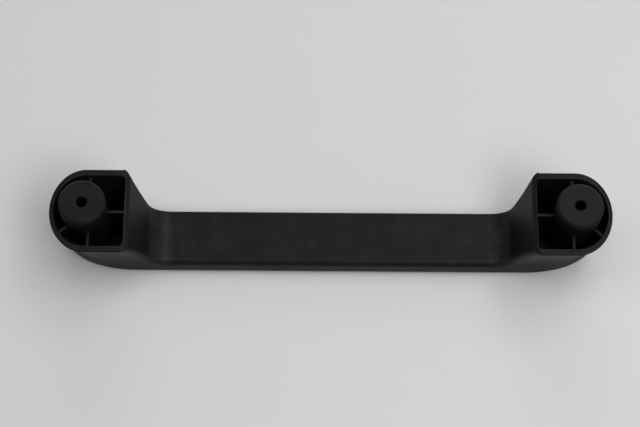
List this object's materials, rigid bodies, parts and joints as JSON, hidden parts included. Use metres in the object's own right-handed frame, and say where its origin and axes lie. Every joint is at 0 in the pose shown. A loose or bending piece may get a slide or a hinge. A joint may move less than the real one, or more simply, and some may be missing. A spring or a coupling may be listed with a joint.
{
  "type": "car door pull handle",
  "caption": "Fixed bridge-shaped pull handle with two flared hollow feet, proud screw bosses, a clip-fitted front cover and caps over the screw wells.",
  "frame": {"origin": "under the middle of the grip, on the plane that the front face rests on", "axes": "+X along the handle, +Y across it, +Z from the front face up to the mounting side"},
  "size_m": [0.2286, 0.0362, 0.0494],
  "materials": {
    "body_plastic": "black moulded plastic, fine satin grain, slightly polished edges",
    "cover_plastic": "black moulded plastic, fine leather-like grain",
    "cap_plastic": "black moulded plastic, smooth satin"
  },
  "bodies": {
    "root": {"handle_body": "body_plastic", "front_cover": "cover_plastic", "left_screw_cap": "cap_plastic", "right_screw_cap": "cap_plastic"}
  },
  "joints": []
}
